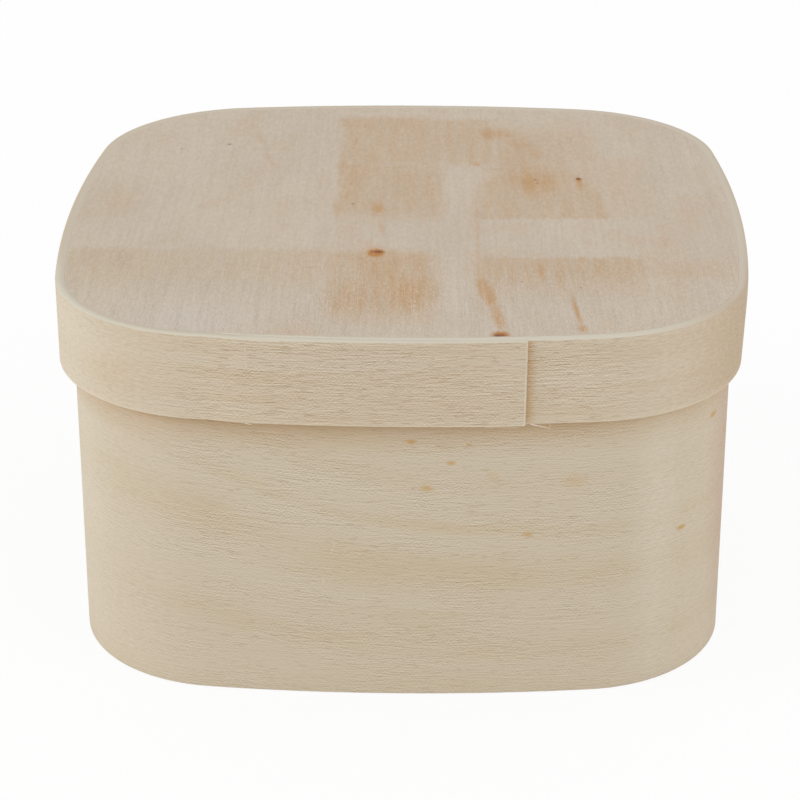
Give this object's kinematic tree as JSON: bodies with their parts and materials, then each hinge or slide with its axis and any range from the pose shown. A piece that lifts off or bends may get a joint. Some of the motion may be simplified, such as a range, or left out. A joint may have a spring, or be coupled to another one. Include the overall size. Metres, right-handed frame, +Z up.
{
  "type": "bentwood box",
  "caption": "Square bentwood box with rounded corners: a bent veneer wall with a glued lap, an inset plywood base and a lift-off plywood lid with a bent veneer rim.",
  "frame": {"origin": "middle of the underside, on the surface that the box stands on", "axes": "+Z up, -Y towards the front, where the lid's lap shows, +X to the right seen from the front"},
  "size_m": [0.11, 0.1105, 0.0605],
  "materials": {
    "band_veneer": "raw, lightly sanded",
    "face_ply": "raw, lightly sanded",
    "core_ply": "raw",
    "wood_glue": "dried, dull"
  },
  "bodies": {
    "box": {"wall_band": "band_veneer", "wall_lap_glue": "wood_glue", "base_lower_ply": "face_ply", "base_core_ply": "core_ply", "base_upper_ply": "face_ply", "base_edge_glue": "wood_glue"},
    "lid": {"lid_band": "band_veneer", "lid_lap_glue": "wood_glue", "lid_lower_ply": "face_ply", "lid_core_ply": "core_ply", "lid_upper_ply": "face_ply", "lid_edge_glue": "wood_glue"}
  },
  "joints": [
    {"name": "lid_lift", "type": "slide", "parent": "box", "child": "lid", "axis": [0, 0, 1], "range_m": [0, 0.1]}
  ]
}
